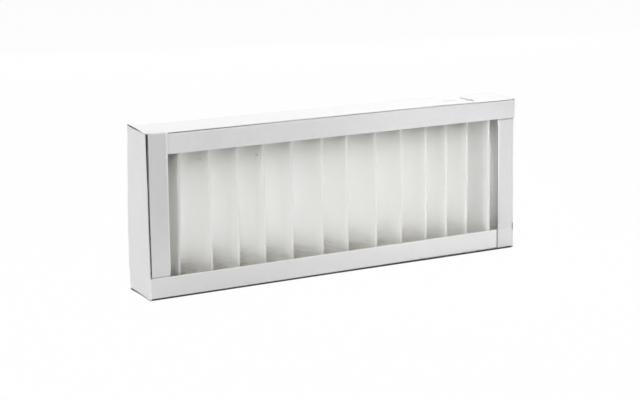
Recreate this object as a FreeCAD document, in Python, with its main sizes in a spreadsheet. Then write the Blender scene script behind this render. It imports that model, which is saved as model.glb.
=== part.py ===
import FreeCAD, Part
import math
import os
import Sketcher

# Pleated pollen filter in a folded card frame, in millimetres, +Z up.
# X runs along the filter, the front face looks along -Y, and the origin lies on the
# resting face, below the middle of the frame.

# Driving dimensions: the value and what it is, kept in the sheet named Sizes
SIZES = {
    "frame_length": (400.0, "outside length of the frame"),
    "frame_height": (155.0, "outside height of the frame"),
    "frame_depth": (48.0, "outside depth of the frame"),
    "card": (1.0, "thickness of the card"),
    "fold_radius": (0.5, "inside radius of a fold in the card"),
    "strip_width": (18.8, "width of each folded strip"),
    "rail_gap": (0.5, "gap between a rail and the wall beside it"),
    "left_gap_root": (1.5, "gap beside the left stile at its fold"),
    "left_gap_tip": (0.8, "gap beside the left stile at its free end"),
    "right_gap_root": (0.2, "gap beside the right stile at its fold"),
    "right_gap_tip": (1.6, "gap beside the right stile at its free end"),
    "relief": (1.0, "width of the slot cut beside the root of a strip"),
    "corner_gap": (0.3, "gap between a wall's free end and the next wall"),
    "lap_gap": (0.1, "glue line between two lapped strips"),
    "step_run": (7.0, "length over which a strip steps in by one card"),
    "step_lead": (1.0, "distance from that step to the strip that covers it"),
    "tip_gap": (3.0, "distance from a strip's free end to the far wall"),
    "sheet_thickness": (1.6, "thickness of the filter sheet"),
    "sheet_clearance": (0.3, "gap between the sheet's folds and the strips"),
    "end_margin": (29.0, "from the frame's end to the nearest even front fold"),
    "tail_length": (12.0, "length of sheet that lies flat on each end wall"),
    "glue_bed": (0.5, "thickness of the glue under the pleat ends"),
    "glue_strip": (0.3, "thickness of the glue behind each end of the sheet"),
    "glue_inset": (2.0, "how far a glue strip stays inside the sheet's edges"),
}

FRONT_FOLDS = 13

# The pleats are folded by hand: how far each front fold stands from its even place
FOLD_SHIFTS = (3.0, 6.0, 6.0, 4.0, 5.0, 9.0, 7.5, 11.0, 11.5, 11.5, 7.0, 2.5, 0.5)

V = FreeCAD.Vector
SHEET_ORIGIN = -1
ORIGIN_POINT = 1
START, END = 1, 2

doc = FreeCAD.newDocument("PollenFilter")


class Size:
    """A length: its number now, and the expression that ties it to the sheet."""

    def __init__(self, value, text):
        self.value = value
        self.text = text

    def joined(self, sign, other, value):
        return Size(value, "(%s %s %s)" % (self.text, sign, other.text))

    def __add__(self, other):
        other = as_size(other)
        return self.joined("+", other, self.value + other.value)

    def __sub__(self, other):
        other = as_size(other)
        return self.joined("-", other, self.value - other.value)

    def __mul__(self, other):
        other = as_size(other)
        return self.joined("*", other, self.value * other.value)

    def __truediv__(self, other):
        other = as_size(other)
        return self.joined("/", other, self.value / other.value)

    def __neg__(self):
        return as_size(0) - self


def as_size(number):
    if isinstance(number, Size):
        return number
    return Size(float(number), "%.6f" % number)


def make_sheet():
    sheet = doc.addObject("Spreadsheet::Sheet", "Sizes")
    for row, (alias, (value, meaning)) in enumerate(SIZES.items(), start=1):
        sheet.set("A%d" % row, alias)
        sheet.set("B%d" % row, str(value))
        sheet.set("C%d" % row, meaning)
        sheet.setAlias("B%d" % row, alias)
    doc.recompute()
    return {alias: Size(float(getattr(sheet, alias)), "Sizes." + alias) for alias in SIZES}


size = make_sheet()
card = size["card"]
length = size["frame_length"]
height = size["frame_height"]
depth = size["frame_depth"]

# Shared places, worked out once
lap_step = card + size["lap_gap"]
left_end = -length / 2
right_end = length / 2
front = -depth / 2
sheet_front = front + card + lap_step + size["sheet_clearance"]
sheet_depth = sheet_front * -2
sheet_bottom = card + size["glue_bed"]
sheet_height = height - sheet_bottom * 2


def bind(item, target, value):
    item.setExpression(target, as_size(value).text)


def fix_point(sketch, geometry, which, x, y):
    """Ties one point of a sketch to its two distances from the sketch's origin."""
    for kind, distance in (("DistanceX", as_size(x)), ("DistanceY", as_size(y))):
        index = sketch.addConstraint(
            Sketcher.Constraint(kind, SHEET_ORIGIN, ORIGIN_POINT, geometry, which, distance.value))
        bind(sketch, "Constraints[%d]" % index, distance)


def same_point(sketch, first, first_end, second, second_end):
    sketch.addConstraint(Sketcher.Constraint("Coincident", first, first_end, second, second_end))


def draw_line(sketch, start, end):
    ends = [V(as_size(x).value, as_size(y).value, 0) for x, y in (start, end)]
    return sketch.addGeometry(Part.LineSegment(*ends), False)


def draw_lines(sketch, points, closed):
    """Straight lines through the points, each point tied to the sheet."""
    stops = list(points[1:])
    if closed:
        stops.append(points[0])
    lines = []
    for start, end in zip(points, stops):
        line = draw_line(sketch, start, end)
        fix_point(sketch, line, START, *start)
        if lines:
            same_point(sketch, lines[-1], END, line, START)
        lines.append(line)
    if closed:
        same_point(sketch, lines[-1], END, lines[0], START)
    else:
        fix_point(sketch, lines[-1], END, *points[-1])
    return lines


def draw_bend(sketch, before, after, centre, radius, first_angle):
    """A quarter bend, drawn anticlockwise from first_angle, between two drawn lines."""
    middle = V(centre[0].value, centre[1].value, 0)
    circle = Part.Circle(middle, V(0, 0, 1), radius.value)
    arc = Part.ArcOfCircle(circle, math.radians(first_angle), math.radians(first_angle + 90))
    bend = sketch.addGeometry(arc, False)
    same_point(sketch, bend, START, *before)
    same_point(sketch, bend, END, *after)
    index = sketch.addConstraint(Sketcher.Constraint("Radius", bend, radius.value))
    bind(sketch, "Constraints[%d]" % index, radius)


def body_sketch(body, name, role, offset=None):
    sketch = body.newObject("Sketcher::SketchObject", name)
    plane = next(item for item in body.Origin.OriginFeatures if item.Role == role)
    sketch.AttachmentSupport = (plane, [""])
    sketch.MapMode = "FlatFace"
    if offset is not None:
        bind(sketch, "AttachmentOffset.Base.z", offset)
    return sketch


def pad(body, name, sketch, thickness):
    feature = body.newObject("PartDesign::Pad", name)
    feature.Profile = sketch
    feature.Length = thickness.value
    bind(feature, "Length", thickness)
    sketch.Visibility = False
    return feature


def draw_folded_section(sketch, step_start, tip):
    """The wall and its two strips, seen along the wall: x runs from the wall's outer
    face along the strips, y from the front face to the back face."""
    outer = card + size["fold_radius"]
    inner = size["fold_radius"]
    step_end = step_start + size["step_run"]

    front_outer = [(outer, as_size(0)), (step_start, as_size(0)), (step_end, lap_step), (tip, lap_step)]
    front_inner = [(x, y + card) for x, y in reversed(front_outer)]
    front_inner[-1] = (outer, card)
    strip = front_outer + front_inner
    back_strip = [(x, depth - y) for x, y in reversed(strip)]

    front_lines = draw_lines(sketch, strip, closed=False)
    back_lines = draw_lines(sketch, back_strip, closed=False)
    inner_face = draw_line(sketch, (card, outer), (card, depth - outer))
    outer_face = draw_line(sketch, (as_size(0), depth - outer), (as_size(0), outer))
    fix_point(sketch, inner_face, START, card, outer)
    fix_point(sketch, inner_face, END, card, depth - outer)
    fix_point(sketch, outer_face, START, 0, depth - outer)
    fix_point(sketch, outer_face, END, 0, outer)

    near = (outer, outer)
    far = (outer, depth - outer)
    draw_bend(sketch, (outer_face, END), (front_lines[0], START), near, outer, 180)
    draw_bend(sketch, (inner_face, START), (front_lines[-1], END), near, inner, 180)
    draw_bend(sketch, (back_lines[0], START), (inner_face, END), far, inner, 90)
    draw_bend(sketch, (back_lines[-1], END), (outer_face, START), far, outer, 90)


def folded_board(name, turn, place, wall_span, strip_span, cover_gap, gap_root, gap_tip):
    """One folded card: a wall, and two strips folded in from its ends at one corner.

    In the body's own frame the wall stands on x = 0 and runs along +Z from the corner
    where the strips are folded, and the strips run along +X. place is that corner,
    and turn is the body's turn about Y, so that four boards make a pinwheel.
    """
    body = doc.addObject("PartDesign::Body", name)
    body.Label = name

    covered_from = strip_span - card - cover_gap - size["strip_width"]
    step_start = covered_from - size["step_lead"] - size["step_run"]
    tip = strip_span - card - size["tip_gap"]
    widest_gap = gap_root if gap_root.value > gap_tip.value else gap_tip
    root_width = card + widest_gap + size["strip_width"] + size["relief"]

    section = body_sketch(body, name + "_section", "XY_Plane")
    draw_folded_section(section, step_start, tip)
    pad(body, name + "_folded_end", section, root_width)

    wall = body_sketch(body, name + "_wall_section", "XY_Plane", root_width)
    nothing = as_size(0)
    corners = [(nothing, nothing), (card, nothing), (card, depth), (nothing, depth)]
    draw_lines(wall, corners, closed=True)
    wall_length = wall_span - card - size["corner_gap"]
    pad(body, name + "_wall", wall, wall_length - root_width)

    # Both strips are cut to their outline, which may lean away from the wall beside it
    outline = body_sketch(body, name + "_trim", "XZ_Plane")
    past_tip = tip + card
    root_low = card + gap_root
    tip_low = card + gap_tip
    root_high = root_low + size["strip_width"]
    tip_high = tip_low + size["strip_width"]
    below = -card
    above = root_width + card
    below_strip = [(card, below), (past_tip, below), (past_tip, tip_low), (card, root_low)]
    above_strip = [(card, root_high), (past_tip, tip_high), (past_tip, above), (card, above)]
    draw_lines(outline, below_strip, closed=True)
    draw_lines(outline, above_strip, closed=True)
    trim = body.newObject("PartDesign::Pocket", name + "_strips_cut")
    trim.Profile = outline
    trim.Type = "ThroughAll"
    trim.SideType = "Symmetric"
    outline.Visibility = False
    body.Tip = trim

    body.Placement = FreeCAD.Placement(V(0, 0, 0), FreeCAD.Rotation(V(0, 1, 0), turn))
    bind(body, "Placement.Base.x", place[0])
    bind(body, "Placement.Base.y", front)
    bind(body, "Placement.Base.z", place[1])
    return body


def make_frame():
    nothing = as_size(0)
    rail = size["rail_gap"]
    left_root, left_tip = size["left_gap_root"], size["left_gap_tip"]
    right_root, right_tip = size["right_gap_root"], size["right_gap_tip"]
    low_left, top_left = (left_end, nothing), (left_end, height)
    top_right, low_right = (right_end, height), (right_end, nothing)
    return [
        folded_board("left_board", 0, low_left, height, length, right_root, rail, rail),
        folded_board("top_board", 90, top_left, length, height, rail, left_root, left_tip),
        folded_board("right_board", 180, top_right, height, length, left_root, rail, rail),
        folded_board("bottom_board", 270, low_right, length, height, rail, right_root, right_tip),
    ]


def front_fold_places():
    """X of each front fold, from the left."""
    pitch = (length - size["end_margin"] * 2) / (FRONT_FOLDS - 1)
    places = []
    for number in range(FRONT_FOLDS):
        shift = FOLD_SHIFTS[number % len(FOLD_SHIFTS)]
        places.append(left_end + size["end_margin"] + pitch * number + shift)
    return places, pitch


def make_medium():
    """One sheet: flat on the left wall, folded to and fro, flat on the right wall."""
    half = size["sheet_thickness"] / 2
    front_line = sheet_front + half
    back_line = -front_line
    tail_end = front_line + size["tail_length"]
    tail_x = length / 2 - card - size["glue_strip"] - half
    folds, pitch = front_fold_places()

    points = [(-tail_x, front_line), (-tail_x, tail_end), (folds[0] - pitch / 2, back_line)]
    for here, following in zip(folds, folds[1:]):
        points.append((here, front_line))
        points.append(((here + following) / 2, back_line))
    points.append((folds[-1], front_line))
    points.append((folds[-1] + pitch / 2, back_line))
    points += [(tail_x, tail_end), (tail_x, front_line)]

    fold_line = doc.addObject("Sketcher::SketchObject", "sheet_fold_line")
    draw_lines(fold_line, points, closed=False)
    bind(fold_line, "Placement.Base.z", sheet_bottom)

    section = doc.addObject("Part::Offset2D", "sheet_section")
    section.Source = fold_line
    section.Mode = "Pipe"
    section.Join = "Arc"
    bind(section, "Value", half)

    medium = doc.addObject("Part::Extrusion", "pleated_medium")
    medium.Base = section
    medium.DirMode = "Custom"
    medium.Dir = V(0, 0, 1)
    medium.Solid = True
    bind(medium, "LengthFwd", sheet_height)
    medium.Label = "pleated_medium"
    return [medium]


def glue_box(name, corner, extent):
    box = doc.addObject("Part::Box", name)
    box.Label = name
    for side, value in zip(("Length", "Width", "Height"), extent):
        bind(box, side, value)
    for axis, value in zip("xyz", corner):
        bind(box, "Placement.Base." + axis, value)
    return box


def make_glue():
    inside_left = left_end + card
    bed = (length - card * 2, sheet_depth, size["glue_bed"])
    inset = size["glue_inset"]
    strip = (size["glue_strip"], size["tail_length"] - inset, sheet_height - inset * 2)
    strip_y = sheet_front + inset
    strip_z = sheet_bottom + inset
    right_strip_x = right_end - card - size["glue_strip"]
    return [
        glue_box("bottom_glue_bed", (inside_left, sheet_front, card), bed),
        glue_box("top_glue_bed", (inside_left, sheet_front, height - sheet_bottom), bed),
        glue_box("left_glue_strip", (inside_left, strip_y, strip_z), strip),
        glue_box("right_glue_strip", (right_strip_x, strip_y, strip_z), strip),
    ]


def check_document():
    doc.recompute()
    for item in doc.Objects:
        faults = [word for word in item.State if word in ("Invalid", "Error")]
        if faults:
            raise RuntimeError("%s is %s" % (item.Name, faults))


def write_parts(parts):
    os.makedirs("parts", exist_ok=True)
    for part in parts:
        shape = part.Shape
        if shape.isNull() or not shape.isValid():
            raise RuntimeError("%s has no valid shape" % part.Label)
        if len(shape.Solids) != 1:
            raise RuntimeError("%s is not one solid" % part.Label)
    for part in parts:
        part.Shape.exportStep(os.path.join("parts", part.Label + ".step"))


pieces = make_frame() + make_medium() + make_glue()
check_document()
write_parts(pieces)
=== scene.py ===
"""The looks of a pleated pollen filter: a frame of four folded white cards round one
fluffy pleated sheet. Sizes are in metres unless a name or a comment says millimetres."""
import math

import bmesh
import bpy
from mathutils import Matrix, Vector, noise
from mathutils.bvhtree import BVHTree


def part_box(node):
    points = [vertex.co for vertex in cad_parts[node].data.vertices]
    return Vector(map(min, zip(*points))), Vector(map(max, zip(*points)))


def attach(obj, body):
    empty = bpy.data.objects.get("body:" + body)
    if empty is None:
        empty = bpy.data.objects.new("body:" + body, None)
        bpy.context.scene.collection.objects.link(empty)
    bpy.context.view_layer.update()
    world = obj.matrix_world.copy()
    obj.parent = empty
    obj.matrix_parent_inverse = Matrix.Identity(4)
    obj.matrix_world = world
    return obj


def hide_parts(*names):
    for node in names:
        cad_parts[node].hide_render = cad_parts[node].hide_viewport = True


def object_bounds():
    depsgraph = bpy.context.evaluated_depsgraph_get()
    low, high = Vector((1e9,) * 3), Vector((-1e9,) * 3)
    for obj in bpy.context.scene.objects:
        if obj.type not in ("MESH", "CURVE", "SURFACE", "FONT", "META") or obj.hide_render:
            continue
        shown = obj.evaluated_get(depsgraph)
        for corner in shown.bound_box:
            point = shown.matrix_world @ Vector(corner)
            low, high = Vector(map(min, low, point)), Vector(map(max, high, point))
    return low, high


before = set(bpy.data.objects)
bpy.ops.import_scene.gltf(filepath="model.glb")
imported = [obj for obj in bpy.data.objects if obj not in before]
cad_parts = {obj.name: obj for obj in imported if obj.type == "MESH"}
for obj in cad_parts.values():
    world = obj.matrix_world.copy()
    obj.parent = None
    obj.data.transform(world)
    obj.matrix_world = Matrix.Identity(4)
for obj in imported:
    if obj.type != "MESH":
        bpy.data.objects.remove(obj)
cad_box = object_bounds()

MM = 0.001

# Camera, fitted to the frame's edges in the photograph of 640 x 400 pixels
CAMERA_PLACE = (-0.71547, -1.33339, 0.40867)
CAMERA_AZIMUTH = math.radians(-27.847)
CAMERA_ELEVATION = math.radians(12.709)
CAMERA_ROLL = math.radians(-0.585)
CAMERA_FOCAL_PIXELS = 1589.05
IMAGE_WIDTH = 640
SENSOR_WIDTH_MM = 36.0

# The frame: its outside sizes come from the model, its window from the strips
HALF_LENGTH, HALF_DEPTH, FRAME_HEIGHT = (round(side, 5) for side in cad_box[1])
CARD = 1.0 * MM
STRIP_WIDTH = 18.8 * MM
RAIL_GAP = 0.5 * MM
STILE_GAP = 1.5 * MM
WINDOW_SIDE = HALF_LENGTH - CARD - STILE_GAP - STRIP_WIDTH
WINDOW_LOW = CARD + RAIL_GAP + STRIP_WIDTH
WINDOW_HIGH = FRAME_HEIGHT - WINDOW_LOW

# The right end shows up to this height, just under the top rail
OPEN_HEIGHT = WINDOW_HIGH - 0.2 * MM

# The top card and what lies close under it
TOP_ZONE = FRAME_HEIGHT - 5.0 * MM

# The top card sags towards the right end, and its front edge sags a little more
SAG = 0.6 * MM
SAG_SPAN = (0.50 * HALF_LENGTH, HALF_LENGTH)
EDGE_SAG = 0.5 * MM
EDGE_SAG_SPAN = (0.45 * HALF_LENGTH, 0.80 * HALF_LENGTH)

# Printed marks on the top wall
ARROW_X = 0.1533
ARROW_TIP_Y = -0.0205
ARROW_NECK_Y = -0.0100
ARROW_TAIL_Y = 0.0060
BAR_X = 0.1330
BAR_Y = -0.0065

# Nicks in the stiles' edges: x, z, half the width and half the height
NICKS = (
    (-0.1797, 0.1330, 1.2 * MM, 1.0 * MM),
    (0.1808, 0.0548, 1.1 * MM, 1.1 * MM),
    (0.1818, 0.0235, 1.2 * MM, 1.8 * MM),
)

# The sheet
SHEET_THICKNESS = 1.5 * MM
SHEET_FOLD_RADIUS = 0.6 * MM
SHEET_TAIL = 12.0 * MM
SHEET_INSET = 0.05 * MM
SHEET_STEP = 2.3 * MM
SHEET_ROWS = 64
WRINKLE_X, WRINKLE_Z = -0.1416, 0.1272
KNOT_X, KNOT_Z = -0.0850, 0.1230

# How far each front fold leans over the sheet's height, in millimetres
FOLD_LEANS_MM = (3.6, -1.0, 1.6, -0.8, 0.9, -0.4, -0.4, -1.6, -0.9, -0.5, -0.9, -0.8, -2.4)

# The glue bead stops this far from the frame's middle plane
BEAD_REACH = HALF_DEPTH - 3.5 * MM

FLOOR_HALF = 6.0
WORLD_STRENGTH = 0.15


class Link:
    """A number that a node gives. Arithmetic on it adds Math nodes."""

    def __init__(self, nodes, socket):
        self.nodes = nodes
        self.socket = socket

    def joined(self, operation, first, second=None):
        sockets = {0: first}
        if second is not None:
            sockets[1] = second
        return self.nodes.node("ShaderNodeMath", sockets, operation=operation)

    def __add__(self, other):
        return self.joined("ADD", self, other)

    def __radd__(self, other):
        return self.joined("ADD", other, self)

    def __sub__(self, other):
        return self.joined("SUBTRACT", self, other)

    def __rsub__(self, other):
        return self.joined("SUBTRACT", other, self)

    def __mul__(self, other):
        return self.joined("MULTIPLY", self, other)

    def __rmul__(self, other):
        return self.joined("MULTIPLY", other, self)

    def __truediv__(self, other):
        return self.joined("DIVIDE", self, other)

    def __rtruediv__(self, other):
        return self.joined("DIVIDE", other, self)

    def __gt__(self, other):
        return self.joined("GREATER_THAN", self, other)

    def __lt__(self, other):
        return self.joined("LESS_THAN", self, other)

    def __abs__(self):
        return self.joined("ABSOLUTE", self)

    def rounded(self):
        return self.joined("ROUND", self)

    def at_least(self, other):
        return self.joined("MAXIMUM", self, other)

    def rise(self, low, high):
        """0 below low, 1 above high, and smooth between; falls where low is above high."""
        sockets = {0: self, 1: min(low, high), 2: max(low, high), 3: 0.0, 4: 1.0}
        if low > high:
            sockets[3], sockets[4] = 1.0, 0.0
        return self.nodes.node("ShaderNodeMapRange", sockets, interpolation_type="SMOOTHSTEP")


class Nodes:
    """A node tree, for a material or for geometry."""

    def __init__(self, tree):
        self.tree = tree

    def node(self, kind, sockets=None, output=0, **settings):
        """Adds a node: its settings first, then the values or links of its sockets."""
        made = self.tree.nodes.new(kind)
        for name, value in settings.items():
            setattr(made, name, value)
        for key, value in (sockets or {}).items():
            socket = made.inputs[key]
            if isinstance(value, Link):
                self.tree.links.new(value.socket, socket)
            else:
                socket.default_value = value
        return Link(self, made.outputs[output]) if made.outputs else None

    def parts(self, vector):
        """The x, y and z of a vector."""
        split = self.node("ShaderNodeSeparateXYZ", {0: vector})
        return [Link(self, socket) for socket in split.socket.node.outputs]

    def vector(self, x, y, z):
        return self.node("ShaderNodeCombineXYZ", {0: x, 1: y, 2: z})

    def vectors(self, operation, *inputs, output=0):
        return self.node("ShaderNodeVectorMath", dict(enumerate(inputs)), output, operation=operation)

    def noise(self, vector, scale, detail, roughness, seed):
        sockets = {"Vector": vector, "W": seed, "Scale": scale, "Detail": detail, "Roughness": roughness}
        return self.node("ShaderNodeTexNoise", sockets, noise_dimensions="4D")

    def stretched(self, vector, scales, detail, roughness, seed):
        """Noise with a scale of its own along each axis."""
        return self.noise(self.vectors("MULTIPLY", vector, scales), 1.0, detail, roughness, seed)

    def mixed(self, factor, first, second):
        """One colour passing into another."""
        sockets = {0: factor, 6: first, 7: second}
        return self.node("ShaderNodeMix", sockets, output=2, data_type="RGBA")

    def painted(self, base, coats):
        """Lays one colour after another over the base, each by its mask."""
        for mask, coat in coats:
            base = self.mixed(mask, base, coat)
        return base

    def bump(self, height, distance, strength):
        return self.node("ShaderNodeBump", {"Height": height, "Distance": distance, "Strength": strength})

    def body(self, tint, roughness, relief, even):
        """The main shader. The even sockets are the same all over the surface."""
        sockets = {"Base Color": tint, "Roughness": roughness, "Normal": relief, **even}
        return self.node("ShaderNodeBsdfPrincipled", sockets)

    def surface(self, shader):
        self.node("ShaderNodeOutputMaterial", {"Surface": shader})


def colour(red, green, blue):
    return (red, green, blue, 1.0)


PAINTED_STILE_SHADE = colour(0.60, 0.595, 0.60)
RUBBED = colour(0.16, 0.16, 0.16)
FOOT_SHADOW_PAINT = colour(0.035, 0.034, 0.034)
UNLIT = colour(0.005, 0.005, 0.004)


def new_material(name):
    material = bpy.data.materials.new(name)
    material.use_nodes = True
    material.node_tree.nodes.clear()
    return material, Nodes(material.node_tree)


def object_place(nodes):
    return nodes.node("ShaderNodeTexCoord", output=3)


# Finishes of the card

def unsagged(x, z):
    """The height that a place on the front edge had before card_warp let the right end sag."""
    return z + x.rise(*SAG_SPAN) * SAG + x.rise(*EDGE_SAG_SPAN) * EDGE_SAG


class CardPlace:
    """Where a point of the cards lies: x, y and z, and millimetres from the frame's edges."""

    def __init__(self, nodes, place):
        self.x, self.y, self.z = nodes.parts(place)
        self.from_left = (self.x + HALF_LENGTH) / MM
        self.from_right = (HALF_LENGTH - self.x) / MM
        self.in_left = (-WINDOW_SIDE - self.x) / MM
        self.in_right = (self.x - WINDOW_SIDE) / MM
        self.over_rail = (self.z - WINDOW_LOW) / MM
        self.below_top = (FRAME_HEIGHT - unsagged(self.x, self.z)) / MM
        self.behind = (self.y + HALF_DEPTH) / MM
        self.front = self.behind.rise(1.8, 1.4)


def card_finish():
    """White coated card with two plain printed marks on the top wall."""
    material, nodes = new_material("white_card")
    place = object_place(nodes)
    at = CardPlace(nodes, place)

    clouds = nodes.noise(place, 14.0, 3.0, 0.6, 1.0)
    mottle = nodes.noise(place, 210.0, 4.0, 0.6, 2.0)
    fibres = nodes.stretched(place, (500.0, 900.0, 1700.0), 3.0, 0.6, 3.0)
    shade = (clouds * 0.5 + mottle * 0.3 + fibres * 0.2).rise(0.36, 0.64)
    white = nodes.mixed(shade, colour(0.818, 0.816, 0.822), colour(0.868, 0.867, 0.872))

    rub = nodes.noise(place, 55.0, 5.0, 0.7, 4.0).rise(0.60, 0.78)
    on_top = at.below_top < 0.4
    lit_low_rail = at.front * at.over_rail.rise(0.9, -0.3)
    # painted shade: the left stile is painted a little greyer towards its top, the right one all the way up
    left_stile = at.front * at.in_left.rise(-0.5, 0.3) * at.z.rise(0.015, 0.110)
    right_stile = at.front * at.in_right.rise(0.3, 1.3) * (at.z < OPEN_HEIGHT)
    # painted highlight: the bottom rail's upper edge is the brightest line of all
    rail_highlight = at.over_rail.rise(-1.1, -0.6) * (at.over_rail < 0.7) * (at.in_right < 0.3)
    rail_highlight = at.front * rail_highlight * (at.from_left > 1.5)

    white = nodes.painted(white, (
        (rub * 0.22, colour(0.74, 0.735, 0.745)),
        # painted light: the top wall and the bottom rail's front are painted whiter
        (on_top.at_least(lit_low_rail) * 0.9, colour(0.900, 0.899, 0.903)),
        (on_top * printed_marks(nodes, place, at), colour(0.10, 0.10, 0.11)),
        (left_stile * 0.38, PAINTED_STILE_SHADE),
        (right_stile * 0.20, PAINTED_STILE_SHADE),
        (edge_highlights(at) * 0.80, colour(0.965, 0.962, 0.952)),
        (rail_highlight * 0.9, colour(0.990, 0.986, 0.970)),
        (nicked(at) * 0.9, colour(0.98, 0.975, 0.96)),
        (shadow_under_top_card(nodes, at) * 0.6, colour(0.20, 0.195, 0.18)),
        (lap_shade(at) * 0.55, colour(0.22, 0.215, 0.21)),
        (at.front * rubbed_corner(at), RUBBED),
        (painted_foot_shadow(nodes, at), FOOT_SHADOW_PAINT),
    ))
    roughness = 0.50 + mottle * 0.14 + rub * 0.08
    relief = nodes.bump(fibres * 0.4 + mottle * 0.6, 0.05 * MM, 0.5)
    nodes.surface(nodes.body(white, roughness, relief, {"Specular IOR Level": 0.42}))
    return material


def printed_marks(nodes, place, at):
    """A plain arrow that points to the front, and a faint bar, both in grainy ink."""
    aside = abs(at.x - ARROW_X)
    shaft = (aside < 1.6 * MM) * (at.y > ARROW_NECK_Y) * (at.y < ARROW_TAIL_Y)
    head = (aside < (at.y - ARROW_TIP_Y) * 0.42) * (at.y < ARROW_NECK_Y + 0.5 * MM)
    bar = (abs(at.x - BAR_X) < 8.2 * MM) * (abs(at.y - BAR_Y) < 3.2 * MM)
    grain = nodes.noise(place, 1500.0, 2.0, 0.5, 5.0).rise(0.25, 0.55)
    return (0.6 + grain * 0.4) * (shaft.at_least(head) * 0.80 + bar * 0.22)


def edge_highlights(at):
    """Painted highlights along the stiles' inner edges and the rails' upper edges, where they catch the
    light.
    """
    left = at.in_left.rise(1.9, 0.9) * at.in_left.rise(-0.7, -0.1) * (at.over_rail > 0.3)
    right = at.in_right.rise(3.7, 2.5) * at.in_right.rise(-0.7, -0.2) * (at.z < OPEN_HEIGHT)
    foot = at.over_rail.rise(-1.5, -0.7) * (at.over_rail < 0.7) * (at.in_right < 1.3) * (at.from_left > 1.5)
    head = at.below_top.rise(3.4, 2.7) * at.below_top.rise(1.3, 1.7) * (at.in_left < 0.3)
    return at.front * left.at_least(right).at_least(foot).at_least(head)


def nicked(at):
    """Small nicks in the stiles' edges, which show the board."""
    return at.front * sum(
        (abs(at.x - x) < half_width) * (abs(at.z - z) < half_height)
        for x, z, half_width, half_height in NICKS)


def shadow_under_top_card(nodes, at):
    """Painted shadow right under the top card's front edge, on the right half, broken up by noise."""
    patchy = nodes.noise(nodes.vector(at.x, 0.0, 0.0), 42.0, 3.0, 0.6, 11.0).rise(0.50, 0.62)
    line = at.below_top.rise(1.75, 1.55) * (at.below_top > 1.0)
    return at.front * line * at.x.rise(0.30 * HALF_LENGTH, 0.65 * HALF_LENGTH) * patchy


def lap_shade(at):
    """The shade where one strip steps in under another."""
    stepped_in = at.behind.rise(0.4, 0.8) * (at.behind < 4.0) * (abs(at.x) < HALF_LENGTH - 1.5 * MM)
    under_rail = at.z.rise(WINDOW_HIGH - 2.1 * MM, WINDOW_HIGH - 1.2 * MM) * (at.z < TOP_ZONE)
    over_rail = (at.in_left > -0.2) * at.over_rail.rise(1.3, 0.6)
    beside_stile = (at.z < WINDOW_LOW) * at.in_right.rise(0.9, 1.9)
    return stepped_in * ((at.in_right > -0.7) * under_rail).at_least(over_rail).at_least(beside_stile)


def rubbed_corner(at):
    """A dark rub on the front right corner, low down."""
    return at.from_right.rise(1.6, 1.2) * at.over_rail.rise(-2.5, -1.3) * at.over_rail.rise(5.9, 4.9) * 0.75


def painted_foot_shadow(nodes, at):
    """Painted contact shadow on the lowest lip, where the box stands: least at its front corners, and
    further up towards the back and the left."""
    uneven = nodes.noise(nodes.vector(at.x, at.y, 0.0), 90.0, 2.0, 0.5, 9.0) * 0.8
    higher = at.behind.rise(14.0, 44.0) * 0.5 - at.x.rise(0.10 * HALF_LENGTH, 0.90 * HALF_LENGTH) * 0.3
    lip = (at.z / MM + uneven - higher).rise(2.05, 1.45)
    backward = at.behind.rise(4.0, 39.0)
    left_corner = at.from_left.rise(0.7, 2.5).at_least(backward)
    right_corner = at.from_right.rise(1.0, 3.5).at_least(backward)
    return lip * left_corner * right_corner * at.behind.rise(47.6, 44.5) * 0.92


def core_finish():
    """The cut edge of the card: pale cream board in thin plies."""
    material, nodes = new_material("card_cut_edge")
    place = object_place(nodes)
    at = CardPlace(nodes, place)
    plies = nodes.stretched(place, (2600.0, 2600.0, 160.0), 3.0, 0.6, 1.0)
    patches = nodes.noise(place, 320.0, 3.0, 0.6, 2.0)
    tone = (plies * 0.5 + patches * 0.5).rise(0.34, 0.66)
    board = nodes.mixed(tone, colour(0.80, 0.785, 0.72), colour(0.91, 0.90, 0.85))

    # painted shade on the top card's left end, darker towards the back
    gap_shade = at.from_left.rise(3.0, 2.5) * at.below_top.rise(2.5, 1.5) * at.behind.rise(1.0, 30.0)
    # painted highlight on the cut front edge of the top card, and painted shade along its lower rim
    top_front = at.front * (at.below_top < 1.2) * (at.in_left < 0.3)
    wider_rim = at.x.rise(0.45 * HALF_LENGTH, 0.65 * HALF_LENGTH) * 0.15
    rim = top_front * (at.below_top + wider_rim).rise(0.70, 0.90)
    # inside the narrow slot at the left corner no light reaches the edges, nor the wall's inner rim
    inside = at.behind.rise(0.0, 0.2).at_least(at.z.rise(0.0400, 0.0600))
    inner_rim = (at.from_left - at.z.rise(0.1300, 0.0950) * 0.3) > 0.4
    slot = at.from_left.rise(3.0, 2.6) * inner_rim * inside * at.below_top.rise(0.2, 0.5)
    # the right stile's inner cut edge lies in the shade
    inner_edge = at.in_right.rise(-2.2, -1.5) * (at.in_right < 4.8) * (at.behind < 2.5)

    board = nodes.painted(board, (
        (gap_shade * 0.90, colour(0.13, 0.115, 0.095)),
        (top_front, colour(0.975, 0.970, 0.955)),
        (rim * 0.97, colour(0.014, 0.013, 0.010)),
        (slot * 0.98, UNLIT),
        (inner_edge * (at.z < OPEN_HEIGHT) * 0.75, colour(0.20, 0.195, 0.185)),
        (at.front * rubbed_corner(at), RUBBED),
        (painted_foot_shadow(nodes, at), FOOT_SHADOW_PAINT),
    ))
    relief = nodes.bump(plies, 0.08 * MM, 0.6)
    nodes.surface(nodes.body(board, 0.78 + patches * 0.12, relief, {"Specular IOR Level": 0.25}))
    return material


# Finish of the sheet

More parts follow.
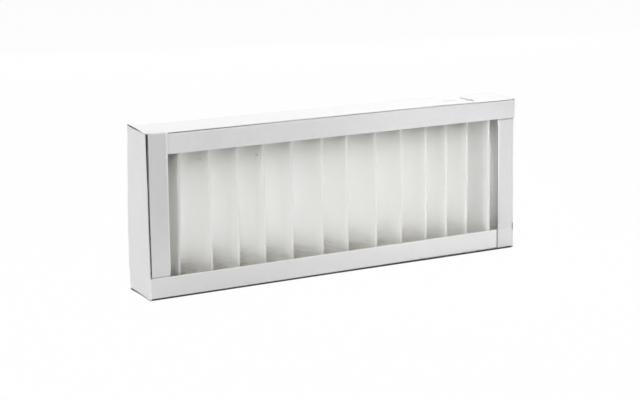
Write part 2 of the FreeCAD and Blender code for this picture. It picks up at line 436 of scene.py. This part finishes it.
def felt_grain(nodes, along):
    """The tufts alone, and clumps, tufts and single hairs together."""
    clumps = nodes.noise(along, 95.0, 4.0, 0.62, 1.0)
    tufts = nodes.noise(along, 420.0, 4.0, 0.65, 2.0)
    hairs = nodes.stretched(along, (700.0, 2300.0, 700.0), 3.0, 0.6, 3.0)
    cross_hairs = nodes.stretched(along, (2300.0, 700.0, 700.0), 3.0, 0.6, 4.0)
    return tufts, clumps * 0.35 + tufts * 0.30 + hairs * 0.20 + cross_hairs * 0.15


def foot_creases(nodes, along, z, edge):
    """Fine creases that run up from the glued foot."""
    run, _, _ = nodes.parts(along)
    near_foot = (z - edge).rise(0.034, 0.010)
    lie = nodes.vector(run * 70.0, (z - run * 0.27) * 330.0, 0.0)
    ridged = abs(nodes.noise(lie, 1.0, 3.0, 0.55, 8.0) - 0.5)
    return ridged.rise(0.055, 0.0) * near_foot


def pinched_wrinkle(x, y, z):
    """One wrinkle on the left pleats, all painted: a painted highlight on its ridge, and painted shade
    under it.
    """
    aside = abs(x - WRINKLE_X)
    under = z - WRINKLE_Z + aside * 2.2
    toward_front = y < -2.0 * MM
    pinch = (abs(under) < 0.7 * MM) * (aside < 1.5 * MM) * toward_front
    fold_shade = (abs(under + 1.4 * MM) < 0.7 * MM) * (aside < 1.3 * MM) * toward_front
    return pinch, fold_shade


def fibre_knot(x, y, z):
    """One dark knot of fibres, twice as high as it is wide."""
    off_x = x - KNOT_X
    off_z = z - KNOT_Z
    return (off_x * off_x * 4.0 + off_z * off_z < 0.8 * MM * MM) * (y < -8.0 * MM)


def nonwoven_finish():
    """Fluffy nonwoven that lets some light through, browner where glue soaked in."""
    material, nodes = new_material("fluffy_nonwoven")
    x, y, z = nodes.parts(object_place(nodes))
    along = nodes.node("ShaderNodeAttribute", output=1, attribute_name="along_sheet")
    tufts, felt = felt_grain(nodes, along)
    tint = nodes.noise(along, 22.0, 2.0, 0.5, 5.0).rise(0.35, 0.65)

    # glue soaks up from the bed, further at the deep folds
    edge = nodes.noise(along, 160.0, 3.0, 0.6, 6.0) * 0.014 + y * 0.16
    soaked = (z - edge).rise(0.026, 0.004)
    streaks = nodes.noise(along, 240.0, 3.0, 0.6, 7.0).rise(0.35, 0.7)
    crease = foot_creases(nodes, along, z, edge)

    # less light comes in under the top rail and behind the left stile
    hooded = (z + edge * 0.6).rise(0.108, 0.146)
    toward_crest = y.rise(0.016, -0.010)
    shade_behind_stile = x.rise(-0.1680, -0.1698) * (0.25 + y.rise(0.004, -0.018) * 0.55 + z.rise(0.090, 0.130) * 0.2)

    # the last wall, by the right card, is painted whiter, then painted with shade but for one painted light
    # streak
    last = x.rise(WINDOW_SIDE + 0.3 * MM, WINDOW_SIDE + 4.3 * MM)
    streak = x.rise(0.1928, 0.1938) * x.rise(0.1946, 0.1942)
    beside_card = x.rise(0.1942, 0.1947)
    wall_shade = 0.26 - streak * 0.26 + beside_card * 0.34
    painted_light_pleats = x.rise(0.1450, 0.1580) * (1.0 - last)

    outward = y.rise(-0.0040, -0.0190)
    inward = y.rise(-0.0080, 0.0120) * x.rise(0.1500, 0.0200)
    ridge = y.rise(-0.0180, -0.0208)
    pinch, fold_shade = pinched_wrinkle(x, y, z)
    knot = fibre_knot(x, y, z)
    # nothing lights the sheet's end inside the slit at the left corner
    slit = x.rise(-0.1925, -0.1950) * y.rise(-0.0080, -0.0120)

    fleece = nodes.mixed(felt.rise(0.38, 0.62), colour(0.912, 0.912, 0.906), colour(0.962, 0.962, 0.957))
    fleece = nodes.painted(fleece, (
        (tint * 0.5, colour(0.925, 0.936, 0.924)),
        (soaked * (0.26 + streaks * 0.38), colour(0.800, 0.765, 0.660)),
        (hooded * (0.20 + toward_crest * 0.80), colour(0.715, 0.708, 0.668)),
        (shade_behind_stile, colour(0.600, 0.600, 0.555)),
        # painted shade in the foot creases
        (crease * 0.50, colour(0.560, 0.520, 0.410)),
        (last * 0.8, colour(0.985, 0.985, 0.980)),
        (last * wall_shade, colour(0.60, 0.59, 0.56)),
        # painted shade: the fleece is painted darker towards the front crests and on their ridges
        (outward * 0.5, colour(0.820, 0.820, 0.812)),
        (ridge * 0.5, colour(0.860, 0.860, 0.850)),
        # painted light: the pleats before the last wall are painted whiter
        (painted_light_pleats * 0.8, colour(0.990, 0.990, 0.985)),
        (pinch * 0.9, colour(0.985, 0.985, 0.980)),
        (fold_shade * 0.6, colour(0.500, 0.490, 0.460)),
        (knot * 0.6, colour(0.300, 0.280, 0.240)),
        (slit * 0.98, UNLIT),
    ))
    relief = nodes.bump(felt - crease * 1.2, 0.45 * MM, 0.85)
    body = nodes.body(fleece, 0.88 + tufts * 0.08, relief, {
        "Specular IOR Level": 0.15, "Sheen Weight": 0.15, "Sheen Roughness": 0.6})

    # how much light comes through: most where the fleece is clean and thin; it is also lowered with the
    # painted shades, and at the crests and the deep folds
    share = 0.80
    for mask, lost in (
        (soaked, 0.12), (hooded * toward_crest, 0.20), (shade_behind_stile, 0.25), (outward, 0.12), (inward, 0.18),
        (ridge, 0.18), (crease, 0.07), (knot, 0.25), (pinch, -0.15), (fold_shade, 0.15),
    ):
        share = share - mask * lost
    backed = x.rise(0.1790, 0.1850) * 0.93
    share = share * (1.0 - backed.at_least(slit))
    through = nodes.node("ShaderNodeBsdfTranslucent", {"Color": colour(0.985, 0.985, 0.978)})
    nodes.surface(nodes.node("ShaderNodeMixShader", {0: share, 1: body, 2: through}))
    return material


# Finishes of the glue and the floor

def glue_finish():
    """Set hot-melt glue, cloudy and faintly amber."""
    material, nodes = new_material("set_glue")
    place = object_place(nodes)
    clouds = nodes.noise(place, 130.0, 3.0, 0.6, 1.0)
    ripples = nodes.noise(place, 520.0, 2.0, 0.5, 2.0)
    amber = nodes.mixed(clouds.rise(0.35, 0.65), colour(0.78, 0.735, 0.63), colour(0.87, 0.845, 0.77))
    relief = nodes.bump(ripples, 0.2 * MM, 0.5)
    nodes.surface(nodes.body(amber, 0.30 + clouds * 0.2, relief, {"IOR": 1.48}))
    return material


def floor_finish():
    """White paper sweep: it bounces light, and shows near white with a soft shadow. A painted contact
    shadow, a dark line along the box's foot, reaches further out on the right half."""
    material, nodes = new_material("studio_floor")
    seen = seen_share(nodes)
    x, y, _ = nodes.parts(object_place(nodes))
    deeper = x.rise(-0.05, 0.17) * x.rise(0.199, 0.1965) * 1.6 * MM
    outside = (abs(x) - HALF_LENGTH).at_least(abs(y) - HALF_DEPTH - deeper)
    clear = outside.rise(0.0, 1.2 * MM)
    # painted contact shadow: the paper is painted dark close around the box's footprint
    past_painted_shadow = outside.rise(0.2 * MM, 1.0 * MM)
    paper = nodes.mixed(past_painted_shadow, colour(0.10, 0.10, 0.10), colour(0.92, 0.92, 0.92))
    plain = nodes.node("ShaderNodeBsdfDiffuse", {"Color": paper})
    bright = nodes.node("ShaderNodeEmission", {"Color": colour(1.0, 1.0, 1.0), "Strength": 1.0})
    nodes.surface(nodes.node("ShaderNodeMixShader", {0: seen * clear * 0.97, 1: plain, 2: bright}))
    return material


def seen_share(nodes):
    """1 for rays that show the background, straight or in a gloss, else 0."""
    path = nodes.node("ShaderNodeLightPath").socket.node
    seen, glossy, through = (
        Link(nodes, path.outputs[name])
        for name in ("Is Camera Ray", "Is Glossy Ray", "Is Transmission Ray"))
    return seen.at_least(glossy).at_least(through)


def new_object(name, data):
    """An object in the scene, at the origin."""
    made = bpy.data.objects.new(name, data)
    bpy.context.collection.objects.link(made)
    return made


# Folded cards

def smooth_step(value, low, high):
    share = min(max((value - low) / (high - low), 0.0), 1.0)
    return share * share * (3.0 - 2.0 * share)


def waved(x, y, z):
    """The slow waves of a thin card, none where it stands."""
    lift = smooth_step(z, 0.0, 0.03)
    wave = Vector((x * 9.0, 0.0, z * 13.0))
    out = noise.noise(wave + Vector((3.1, 0.0, 1.7))) * 0.22 * MM * lift
    ends = smooth_step(abs(x), 0.150, 0.199)
    swell = noise.noise(Vector((0.4, y * 16.0, z * 17.0)) + Vector((5.0, 2.0, 0.3))) * 0.45 * MM
    crown = noise.noise(Vector((x * 8.0, y * 14.0, 7.7))) * 0.35 * MM * smooth_step(z, 0.135, 0.154)
    return Vector((x + swell * ends * lift, y + out * min(1.0, abs(y) / HALF_DEPTH), z + crown))


def card_warp(point, is_right_wall, is_right_stile):
    """How the thin card leaves its true planes, much the same for all four boards."""
    x, y, z = point
    from_left = x + HALF_LENGTH
    from_right = HALF_LENGTH - x
    behind = y + HALF_DEPTH
    moved = waved(x, y, z)
    # the back of the top left corner is pushed in, and the top card stands off it there
    splayed = smooth_step(-x, 0.120, 0.199) * smooth_step(y, -0.008, HALF_DEPTH)
    pushed = splayed * smooth_step(z, 0.02, 0.15)
    moved.x += 2.0 * MM * pushed - (1.3 - 0.9 * smooth_step(z, 0.125, 0.155)) * MM * splayed
    is_top_card = z > FRAME_HEIGHT - 1.1 * MM
    if is_top_card or (from_left < 2.5 * MM and z > TOP_ZONE):
        bulge = smooth_step(-x, 0.150, 0.1995) * smooth_step(y, -HALF_DEPTH, -0.004)
        stand = 1.0 * smooth_step(-x, 0.190, 0.1995) + 1.2 * bulge
        moved.z += stand * MM * (1.0 if is_top_card else 0.85)
    if z > TOP_ZONE and x > EDGE_SAG_SPAN[0]:
        moved.z -= SAG * smooth_step(x, *SAG_SPAN)
        if behind < 2.5 * MM:
            moved.z -= EDGE_SAG * smooth_step(x, *EDGE_SAG_SPAN)
    # the top card's right end comes close to the right wall
    if z > FRAME_HEIGHT - 1.2 * MM and 1.2 * MM < from_right < 2.5 * MM:
        moved.x += 0.3 * MM
    # the left stile's outer edge
    if 1.0 * MM < from_left < 7.0 * MM and behind < 1.1 * MM and z > WINDOW_LOW - 0.3 * MM:
        moved.x += 0.35 * MM
    # the right stile's outer and inner edge
    if is_right_stile and from_right < 3.0 * MM and behind < 2.5 * MM and z < OPEN_HEIGHT:
        moved.x += 0.7 * MM * smooth_step(x, 0.1970, 0.1990)
    if is_right_stile and 0.1700 < x < 0.1830 and behind < 2.5 * MM:
        moved.x += (1.8 - 0.9 * smooth_step(z, 0.0, OPEN_HEIGHT)) * MM
    # the right wall leans in towards its head at the front and the back
    if is_right_wall and from_right < 2.5 * MM and z < OPEN_HEIGHT - 0.4 * MM:
        moved.x -= 1.6 * MM * smooth_step(z, 0.018, OPEN_HEIGHT) * smooth_step(abs(y), 0.004, HALF_DEPTH)
    return moved


def cut_edges_marked(mesh):
    """A face is a cut edge where the card behind it is far thicker than one card."""
    tree = BVHTree.FromBMesh(mesh)
    for face in mesh.faces:
        middle = face.calc_center_median()
        _, _, _, distance = tree.ray_cast(middle - face.normal * 1e-5, -face.normal)
        face.material_index = 1 if distance is None or distance > 2.2 * CARD else 0


def sliced(mesh, axis, place):
    """Cuts all faces along one plane, square to an axis."""
    normal = Vector((0.0, 0.0, 0.0))
    normal[axis] = 1.0
    geometry = mesh.verts[:] + mesh.edges[:] + mesh.faces[:]
    bmesh.ops.bisect_plane(mesh, geom=geometry, dist=1e-6, plane_co=normal * place, plane_no=normal)


def grid_cut(mesh, spacing):
    """Cuts the flat faces into cells, so that they can bend."""
    for axis in range(3):
        places = [vertex.co[axis] for vertex in mesh.verts]
        low, high = min(places), max(places)
        count = max(1, round((high - low) / spacing))
        for number in range(1, count):
            sliced(mesh, axis, low + (high - low) * number / count)


def dressed_board(node_name, card, core):
    """A folded card with soft cut edges and a slight wave, in place of the node."""
    mesh = bmesh.new()
    mesh.from_mesh(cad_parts[node_name].data)
    bmesh.ops.remove_doubles(mesh, verts=mesh.verts, dist=2e-6)
    mesh.normal_update()
    cut_edges_marked(mesh)
    flat_angle = math.radians(0.8)
    bmesh.ops.dissolve_limit(
        mesh, angle_limit=flat_angle, verts=mesh.verts, edges=mesh.edges, delimit={"MATERIAL"})
    rims = [edge for edge in mesh.edges
            if len(edge.link_faces) == 2 and edge.calc_face_angle_signed() > math.radians(50)]
    bmesh.ops.bevel(
        mesh, geom=rims, offset=0.14 * MM, segments=2, profile=0.6, affect="EDGES", clamp_overlap=True)
    grid_cut(mesh, 9.0 * MM)
    is_right_wall = node_name == "right_board"
    if is_right_wall:
        for drop in (0.5 * MM, 0.1 * MM):
            sliced(mesh, 2, OPEN_HEIGHT - drop)
    for vertex in mesh.verts:
        vertex.co = card_warp(vertex.co, is_right_wall, node_name == "bottom_board")
    for face in mesh.faces:
        face.smooth = True

    data = bpy.data.meshes.new("folded_" + node_name)
    mesh.to_mesh(data)
    mesh.free()
    data.materials.append(card)
    data.materials.append(core)
    board = new_object("folded_" + node_name, data)
    even = board.modifiers.new("even_normals", "WEIGHTED_NORMAL")
    even.keep_sharp = True
    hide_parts(node_name)
    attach(board, "root")


# Pleated sheet

def fold_places(node):
    """X of the folds at the front and at the back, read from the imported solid."""
    low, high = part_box("pleated_medium")
    found = []
    for edge in (low.y, high.y):
        places = sorted(v.co.x for v in node.data.vertices if abs(v.co.y - edge) < 0.15 * MM)
        groups = []
        for place in places:
            if groups and place - groups[-1][-1] < 3 * MM:
                groups[-1].append(place)
            else:
                groups.append([place])
        found.append([(group[0] + group[-1]) / 2 for group in groups])
    return found


def fold_line(node):
    """The sheet's path seen from above, as a string of points with each one's lean."""
    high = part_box("pleated_medium")[1]
    fronts, backs = fold_places(node)
    line_depth = high.y - SHEET_THICKNESS / 2 - SHEET_INSET
    # rounding a fold draws it back by this much, so its sharp corner lies further out
    sharp = line_depth + SHEET_FOLD_RADIUS * 1.85
    left, right = fronts[0], fronts[-1]
    points = [(left, -line_depth, 0.0), (left, SHEET_TAIL - line_depth, 0.0)]
    for number, back in enumerate(backs):
        around = FOLD_LEANS_MM[max(0, number - 1):number + 1] or [0.0]
        points.append((back, sharp, sum(around) / len(around) * 0.4))
        if number < len(backs) - 1:
            points.append((fronts[number + 1], -sharp, FOLD_LEANS_MM[number % len(FOLD_LEANS_MM)]))
    points += [(right, SHEET_TAIL - line_depth, 0.0), (right, -line_depth, 0.0)]
    return points


def line_mesh(name, places):
    """A string of edges through the places, at height 0."""
    data = bpy.data.meshes.new(name)
    edges = [(number, number + 1) for number in range(len(places) - 1)]
    data.from_pydata([(x, y, 0.0) for x, y in places], edges, [])
    return data


def new_geometry_tree(name, inputs):
    """A Geometry Nodes group with named inputs, given as (name, socket kind)."""
    group = bpy.data.node_groups.new(name, "GeometryNodeTree")
    group.interface.new_socket("Geometry", in_out="INPUT", socket_type="NodeSocketGeometry")
    for label, kind in inputs:
        group.interface.new_socket(label, in_out="INPUT", socket_type="NodeSocket" + kind)
    group.interface.new_socket("Geometry", in_out="OUTPUT", socket_type="NodeSocketGeometry")
    nodes = Nodes(group)
    start = group.nodes.new("NodeGroupInput")
    given = {socket.name: Link(nodes, socket) for socket in start.outputs if socket.name}
    return group, nodes, given


def end_tree(nodes, geometry, finish):
    """Ends a tree with smooth faces, no instances, and the finish."""
    smooth = nodes.node("GeometryNodeSetShadeSmooth", {0: geometry})
    real = nodes.node("GeometryNodeRealizeInstances", {0: smooth})
    dressed = nodes.node("GeometryNodeSetMaterial", {"Geometry": real, "Material": finish})
    nodes.node("NodeGroupOutput", {0: dressed})


def plain_mesh(piece, group, values):
    """Sets the tree's inputs, and turns what it makes into a plain mesh."""
    builder = piece.modifiers.new("builder", "NODES")
    builder.node_group = group
    for item in group.interface.items_tree:
        if item.item_type == "SOCKET" and item.in_out == "INPUT" and item.name in values:
            builder[item.identifier] = values[item.name]
    piece.update_tag()
    graph = bpy.context.evaluated_depsgraph_get()
    made = bpy.data.meshes.new_from_object(piece.evaluated_get(graph), depsgraph=graph)
    piece.modifiers.remove(builder)
    piece.data = made
    return made


def sampled(nodes, geometry, value, index, kind="FLOAT_VECTOR"):
    sockets = {"Geometry": geometry, "Value": value, "Index": index}
    return nodes.node("GeometryNodeSampleIndex", sockets, data_type=kind, domain="POINT")


def rounded_line(nodes, given):
    """The fold line with round folds, in steps of about one length."""
    node = nodes.node
    curve = node("GeometryNodeMeshToCurve", {0: given["Geometry"]})
    sockets = {"Curve": curve, "Count": 6, "Radius": given["Fold radius"], "Limit Radius": True}
    rounded = node("GeometryNodeFilletCurve", sockets, mode="POLY")
    here = node("GeometryNodeInputPosition")
    index = node("GeometryNodeInputIndex")
    sockets = {"Value": here, "Index": index + 1.0}
    following = node("GeometryNodeFieldAtIndex", sockets, data_type="FLOAT_VECTOR", domain="POINT")
    run = nodes.vectors("DISTANCE", here, following, output=1)
    cuts = ((run / given["Step"]).rounded() - 1.0).at_least(0.0)
    return node("GeometryNodeSubdivideCurve", {"Curve": rounded, "Cuts": cuts})


def pleat_tree():
    """Folds a flat grid along the fold line, then wrinkles it as limp fleece does."""
    group, nodes, given = new_geometry_tree("pleated_sheet", [
        ("Base", "Float"), ("Height", "Float"), ("Fold radius", "Float"), ("Step", "Float"),
        ("Rows", "Int"), ("Wander", "Float"), ("Ripple", "Float"), ("Crumple", "Float"),
        ("Seed", "Float"), ("Finish", "Material"),
    ])
    node = nodes.node
    here = node("GeometryNodeInputPosition")
    line = rounded_line(nodes, given)
    count = node("GeometryNodeAttributeDomainSize", {0: line}, component="CURVE")
    grid = node("GeometryNodeMeshGrid", {
        "Size X": 1.0, "Size Y": 1.0, "Vertices X": count, "Vertices Y": given["Rows"]})
    across, up, _ = nodes.parts(here)
    column = ((across + 0.5) * (count - 1.0)).rounded()
    rise = up + 0.5

    place = sampled(nodes, line, here, column)
    tangent = sampled(nodes, line, node("GeometryNodeInputTangent"), column)
    length = sampled(nodes, line, node("GeometryNodeSplineParameter", output=1), column, "FLOAT")
    lean_here = node("GeometryNodeInputNamedAttribute", {"Name": "lean"}, data_type="FLOAT")
    lean = sampled(nodes, line, lean_here, column, "FLOAT")
    forward_x, forward_y, _ = nodes.parts(tangent)
    x, y, _ = nodes.parts(place)
    z = given["Base"] + rise * given["Height"]

    # the folds lean and wander, but not near the glued edges or on the end walls
    free_end = abs(x).rise(HALF_LENGTH - 4.0 * MM, HALF_LENGTH - 10.0 * MM)
    held = (rise * (1.0 - rise) * 4.0).rise(0.0, 0.55)
    seed = given["Seed"]
    slow = nodes.vector(x, y * 0.25, z)
    drift = nodes.noise(slow, 26.0, 2.0, 0.5, seed)
    kink = nodes.noise(slow, 62.0, 1.0, 0.5, seed + 1.0)
    wander = ((drift - 0.5) * 2.0 + (kink - 0.5) * 0.9) * given["Wander"] * (0.35 + held * 0.65)
    sway = (lean * (rise - 0.5) + wander) * free_end

    # the walls between the folds ripple, and crumple at their foot and head
    sheet = nodes.vector(length, z, 0.0)
    wave = nodes.stretched(sheet, (60.0, 18.0, 1.0), 2.0, 0.5, seed + 2.0) - 0.5
    slant = nodes.vector(length * 95.0 + z * 70.0, z * 150.0 - length * 40.0, 0.0)
    creases = nodes.noise(slant, 1.0, 3.0, 0.55, seed + 3.0) - 0.5
    tight = abs(nodes.stretched(sheet, (170.0, 260.0, 1.0), 2.0, 0.5, seed + 4.0) - 0.5)
    at_ends = rise.rise(0.30, 0.02) + rise.rise(0.80, 1.0) * 0.5
    crumple = (creases * 2.2 + tight * 1.2) * at_ends * given["Crumple"]
    between = abs(y).rise(HALF_DEPTH - 2.8 * MM, HALF_DEPTH - 9.0 * MM)
    puff = (wave * 2.0 * given["Ripple"] + crumple) * between * free_end

    moved = nodes.vector(x + sway + forward_y * puff, y - forward_x * puff, z)
    folded = node("GeometryNodeSetPosition", {"Geometry": grid, "Position": moved})
    sockets = {"Geometry": folded, "Name": "along_sheet", "Value": sheet}
    kept = node("GeometryNodeStoreNamedAttribute", sockets, data_type="FLOAT_VECTOR", domain="POINT")
    end_tree(nodes, kept, given["Finish"])
    return group


def pleated_sheet(fleece):
    """The sheet, folded along the line that the solid's folds give. Returns the line's x and y."""
    low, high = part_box("pleated_medium")
    points = fold_line(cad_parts["pleated_medium"])
    places = [(x, y) for x, y, _ in points]
    line = line_mesh("pleat_fold_line", places)
    lean = line.attributes.new("lean", "FLOAT", "POINT")
    for number, point in enumerate(points):
        lean.data[number].value = point[2] * MM
    sheet = new_object("pleated_fleece", line)
    base = low.z + SHEET_INSET
    height = high.z - low.z - SHEET_INSET * 2
    made = plain_mesh(sheet, pleat_tree(), {
        "Base": base, "Height": height, "Fold radius": SHEET_FOLD_RADIUS, "Step": SHEET_STEP,
        "Rows": SHEET_ROWS, "Wander": 0.8 * MM, "Ripple": 0.60 * MM, "Crumple": 1.8 * MM,
        "Seed": 4.0, "Finish": fleece,
    })
    reach = high.y - SHEET_THICKNESS / 2 - 0.02 * MM
    for vertex in made.vertices:
        vertex.co.y = min(max(vertex.co.y, -reach), reach)
    made.update()
    thick = sheet.modifiers.new("thickness", "SOLIDIFY")
    thick.thickness = SHEET_THICKNESS
    thick.offset = 0.0
    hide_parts("pleated_medium")
    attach(sheet, "root")
    return places


# Glue

def bead_tree():
    """A lumpy bead of glue along the pleat ends, on a thin spread bed."""
    group, nodes, given = new_geometry_tree("glue_bead", [
        ("Bead radius", "Float"), ("Bed height", "Float"), ("Bed length", "Float"), ("Bed width", "Float"),
        ("Level", "Float"), ("Bed level", "Float"), ("Finish", "Material"),
    ])
    node = nodes.node
    curve = node("GeometryNodeMeshToCurve", {0: given["Geometry"]})
    even = node("GeometryNodeResampleCurve", {"Curve": curve, "Length": 3.2 * MM}, mode="LENGTH")
    here = node("GeometryNodeInputPosition")
    lumps = nodes.noise(here, 150.0, 2.0, 0.5, 2.0)
    sized = node("GeometryNodeSetCurveRadius", {"Curve": even, "Radius": 0.6 + lumps * 0.8})
    sockets = {"Resolution": 8, "Radius": given["Bead radius"]}
    ring = node("GeometryNodeCurvePrimitiveCircle", sockets, mode="RADIUS")
    bead = node("GeometryNodeCurveToMesh", {"Curve": sized, "Profile Curve": ring, "Fill Caps": True})
    x, y, z = nodes.parts(here)
    flat = nodes.vector(x, y, z * 0.45 + given["Level"])
    squashed = node("GeometryNodeSetPosition", {"Geometry": bead, "Position": flat})
    size = nodes.vector(given["Bed length"], given["Bed width"], given["Bed height"])
    slab = node("GeometryNodeMeshCube", {"Size": size, "Vertices X": 90, "Vertices Y": 12, "Vertices Z": 2})
    lift = nodes.vector(0.0, 0.0, given["Bed level"])
    bed = node("GeometryNodeTransform", {"Geometry": slab, "Translation": lift})
    joined = node("GeometryNodeJoinGeometry")
    for part in (bed, squashed):
        nodes.tree.links.new(part.socket, joined.socket.node.inputs[0])
    end_tree(nodes, joined, given["Finish"])
    return group


def glue_bed(name, tree, places, glue):
    """One glue bed, with its bead along the pleat ends, in place of the node."""
    low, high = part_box(name)
    line = [(x, max(min(y, BEAD_REACH), -BEAD_REACH)) for x, y in places]
    bead = new_object("poured_" + name, line_mesh(name + "_line", line))
    inner_face = high.z if low.z < FRAME_HEIGHT / 2 else low.z
    plain_mesh(bead, tree, {
        "Bead radius": 1.3 * MM, "Bed height": high.z - low.z, "Bed length": high.x - low.x,
        "Bed width": high.y - low.y, "Level": inner_face, "Bed level": (low.z + high.z) / 2, "Finish": glue,
    })
    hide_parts(name)
    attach(bead, "root")


# Studio

def stage_floor():
    corners = [(x * FLOOR_HALF, y * FLOOR_HALF, 0.0) for x, y in ((-1, -1), (1, -1), (1, 1), (-1, 1))]
    data = bpy.data.meshes.new("studio_floor")
    data.from_pydata(corners, [], [(0, 1, 2, 3)])
    data.materials.append(floor_finish())
    floor = new_object("studio_floor", data)


def soft_lamp(name, place, target, width, height, power, spread=180.0):
    lamp = bpy.data.lights.new(name, "AREA")
    lamp.shape = "RECTANGLE"
    lamp.size = width
    lamp.size_y = height
    lamp.energy = power
    lamp.spread = math.radians(spread)
    holder = new_object(name, lamp)
    holder.location = place
    holder.visible_camera = False
    holder.rotation_euler = (Vector(target) - Vector(place)).to_track_quat("-Z", "Y").to_euler()


def studio_light():
    world = bpy.data.worlds.new("studio")
    world.use_nodes = True
    world.node_tree.nodes.clear()
    nodes = Nodes(world.node_tree)
    seen = seen_share(nodes)
    strength = seen + (1.0 - seen) * WORLD_STRENGTH
    sky = nodes.node("ShaderNodeBackground", {"Color": colour(1.0, 1.0, 1.0), "Strength": strength})
    nodes.node("ShaderNodeOutputWorld", {"Surface": sky})
    bpy.context.scene.world = world
    soft_lamp("top_box", (0.0, 0.2, 1.8), (0.0, 0.0, 0.1), 2.4, 1.8, 21.5)
    soft_lamp("right_front_box", (1.6, -0.6, 0.9), (0.1, 0.0, 0.08), 1.0, 1.0, 2.5)
    soft_lamp("back_low_box", (0.5, 1.6, 0.45), (0.05, 0.0, 0.08), 2.4, 0.8, 7.0)
    soft_lamp("left_box", (-1.8, -0.2, 0.6), (-0.2, 0.0, 0.08), 1.2, 1.0, 9.0)
    soft_lamp("high_left_box", (-0.56, -1.5, 1.2), (0.05, 0.0, 0.08), 0.35, 0.7, 8.5)
    soft_lamp("right_end_box", (-0.56, -1.5, 0.9), (0.186, 0.0, 0.07), 0.3, 0.3, 0.080, 12.0)


def photo_camera():
    across = math.cos(CAMERA_ELEVATION)
    back = Vector((
        math.sin(CAMERA_AZIMUTH) * across, -math.cos(CAMERA_AZIMUTH) * across, math.sin(CAMERA_ELEVATION)))
    right = (-back).cross(Vector((0, 0, 1))).normalized()
    up = right.cross(-back)
    side = right * math.cos(CAMERA_ROLL) + up * math.sin(CAMERA_ROLL)
    top = up * math.cos(CAMERA_ROLL) - right * math.sin(CAMERA_ROLL)
    camera = bpy.data.cameras.new("photo_camera")
    camera.sensor_width = SENSOR_WIDTH_MM
    camera.lens = CAMERA_FOCAL_PIXELS / IMAGE_WIDTH * SENSOR_WIDTH_MM
    camera.clip_start = 0.05
    camera.clip_end = 50.0
    holder = new_object("photo_camera", camera)
    turn = Matrix((side, top, back)).transposed().to_4x4()
    holder.matrix_world = Matrix.Translation(CAMERA_PLACE) @ turn
    bpy.context.scene.camera = holder


# The filter and its studio
card, core = card_finish(), core_finish()
for name in ("left_board", "top_board", "right_board", "bottom_board"):
    dressed_board(name, card, core)
places = pleated_sheet(nonwoven_finish())
glue = glue_finish()
tree = bead_tree()
for name in ("bottom_glue_bed", "top_glue_bed"):
    glue_bed(name, tree, places, glue)
for name in ("left_glue_strip", "right_glue_strip"):
    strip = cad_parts[name]
    strip.data.materials.clear()
    strip.data.materials.append(glue)

stage_floor()
studio_light()
photo_camera()
bpy.context.scene.view_settings.view_transform = "Standard"

bpy.context.view_layer.update()
